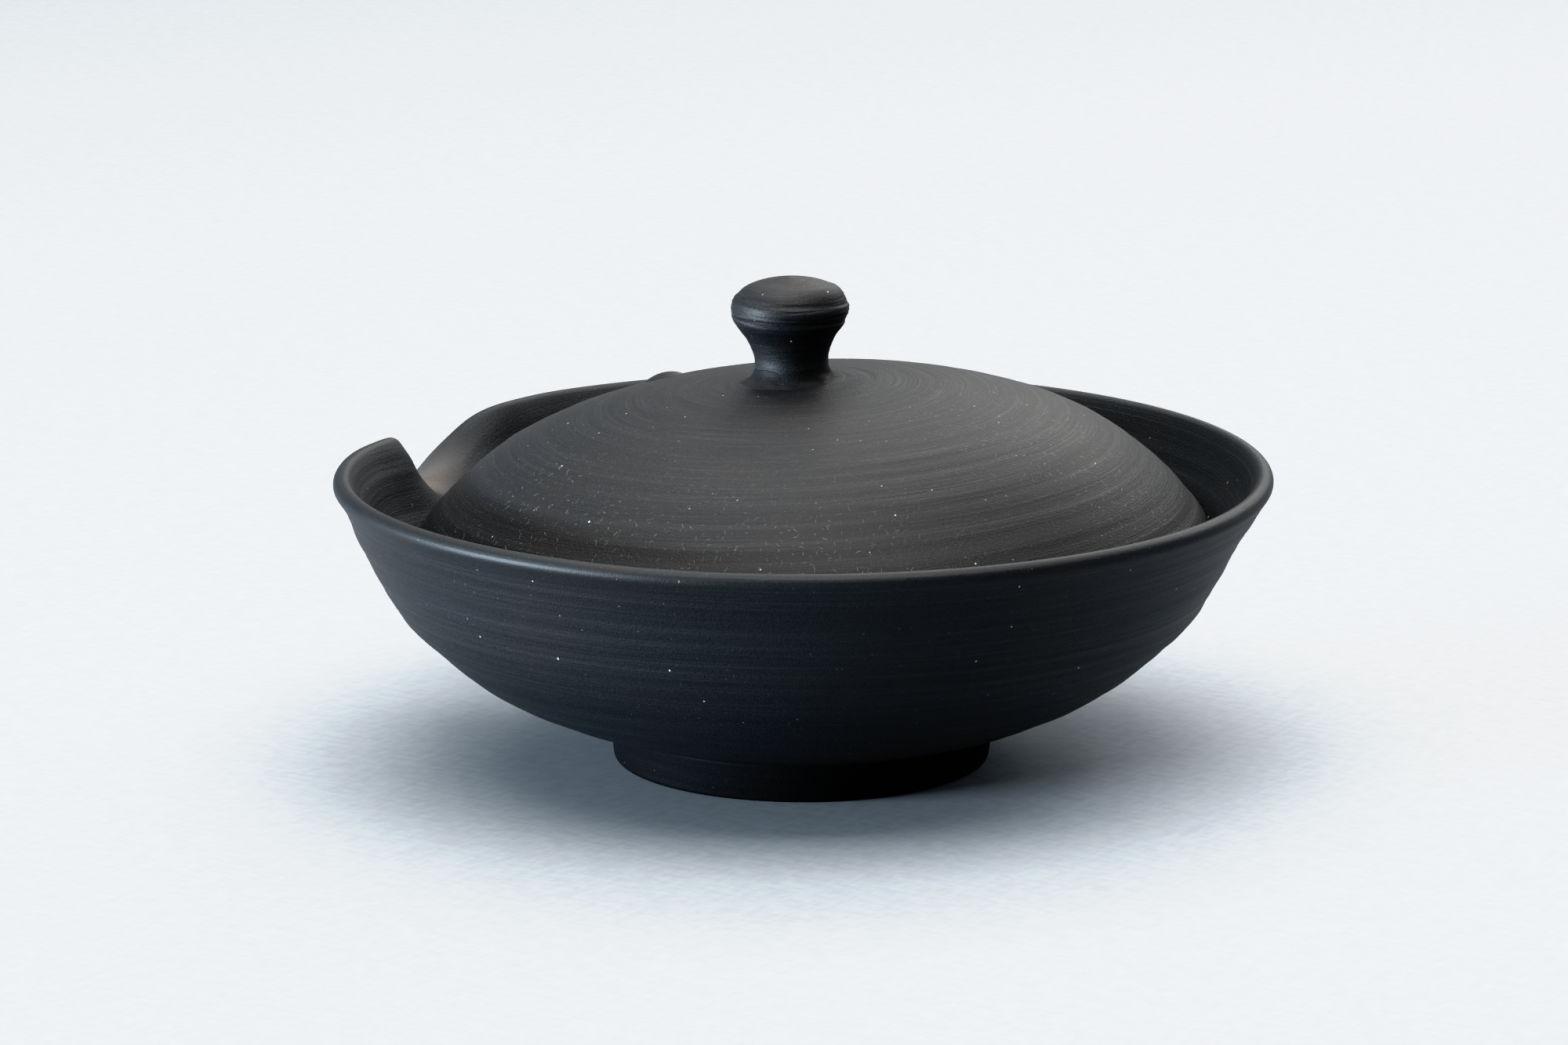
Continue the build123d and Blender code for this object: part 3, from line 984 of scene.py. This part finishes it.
# name, place to the right, toward the camera and up, width, height, power, colour
SOFTBOXES = [
    ("overhead", (0.00, -0.05, 1.00), 1.60, 1.40, 11.4, WARM),
    ("overhead_front", (0.02, 0.28, 0.85), 0.80, 0.50, 6.2, WARM),
    ("overhead_back", (-0.05, -0.42, 0.75), 0.50, 0.35, 2.0, WARM),
    ("back", (0.42, -0.72, 0.50), 0.85, 0.35, 3.4, WARM),
    ("left_window", (-1.93, 0.62, 0.125), 1.00, 0.225, 132.0, COOL),
]

facing = math.radians(CAMERA_ANGLE)
toward = Vector((math.cos(facing), math.sin(facing), 0))
right = Vector((-math.sin(facing), math.cos(facing), 0))
up = Vector((0, 0, 1))


def stage_floor():
    """A pale matt floor with faint flecks and scuffs."""
    bpy.ops.mesh.primitive_plane_add(size=FLOOR_SIZE, location=(0, 0, FLOOR_LEVEL))
    floor = bpy.context.object
    floor.name = "floor"
    n = Nodes("floor_pale")
    place = n.add("ShaderNodeTexCoord").outputs["Object"]
    fleck = n.noise(place, 520.0, 4.0, 0.65)
    scuffs = n.noise(n.vector("MULTIPLY", place, (190.0, 1000.0, 1.0)), 1.0, 3.0, 0.6)
    scuffs_across = n.noise(n.vector("MULTIPLY", place, (900.0, 210.0, 1.0)), 1.0, 3.0, 0.6)
    grain_shade = n.math("MULTIPLY", n.math("ADD", scuffs, scuffs_across), 0.5)
    grain_shade = n.math("ADD", grain_shade, n.math("MULTIPLY", fleck, 0.5))
    pale = [v * (1 + FLOOR_CONTRAST) for v in FLOOR_SHADE]
    dim = [v * (1 - FLOOR_CONTRAST) for v in FLOOR_SHADE]
    n.feed(n.mix(n.ramp(grain_shade, 0.55, 0.95), (*dim, 1), (*pale, 1)), n.shader.inputs["Base Color"])
    tooth = n.add("ShaderNodeBump")
    n.feed(0.12, tooth.inputs["Strength"])
    n.feed(0.05 * MM, tooth.inputs["Distance"])
    n.feed(grain_shade, tooth.inputs["Height"])
    n.feed(tooth.outputs[0], n.shader.inputs["Normal"])
    n.shader.inputs["Roughness"].default_value = 0.9
    n.shader.inputs["Specular IOR Level"].default_value = 0.0
    floor.data.materials.append(n.material)


def softbox(name, place, aim, width, height, power, colour):
    data = bpy.data.lights.new(name, "AREA")
    data.shape = "RECTANGLE"
    data.size = width
    data.size_y = height
    data.energy = power
    data.color = colour
    lamp = bpy.data.objects.new(name, data)
    bpy.context.scene.collection.objects.link(lamp)
    lamp.location = place
    lamp.rotation_mode = "QUATERNION"
    lamp.rotation_quaternion = (aim - place).to_track_quat("-Z", "Y")


stage_floor()
for name, (across, front, height), width, tall, power, colour in SOFTBOXES:
    softbox(name, right * across + toward * front + up * height, LIGHT_AIM, width, tall, power, colour)

world = bpy.data.worlds.new("studio")
bpy.context.scene.world = world
world.use_nodes = True
sky = world.node_tree.nodes["Background"]
sky.inputs["Color"].default_value = WORLD_COLOUR
sky.inputs["Strength"].default_value = WORLD_STRENGTH

camera_data = bpy.data.cameras.new("camera")
camera_data.lens = CAMERA_LENS
camera_data.sensor_width = CAMERA_SENSOR
camera = bpy.data.objects.new("camera", camera_data)
bpy.context.scene.collection.objects.link(camera)
rise = math.radians(CAMERA_RISE)
back = toward * math.cos(rise) + up * math.sin(rise)
camera.location = right * -AIM_LEFT + up * AIM_HEIGHT + back * CAMERA_DISTANCE
camera.rotation_mode = "QUATERNION"
camera.rotation_quaternion = back.to_track_quat("Z", "Y")
bpy.context.scene.camera = camera
view = bpy.context.scene.view_settings
view.view_transform = "Standard"
view.use_curve_mapping = True
contrast = view.curve_mapping.curves[3]
for tone_in, tone_out in TONE_CURVE:
    contrast.points.new(tone_in, tone_out)
view.curve_mapping.update()
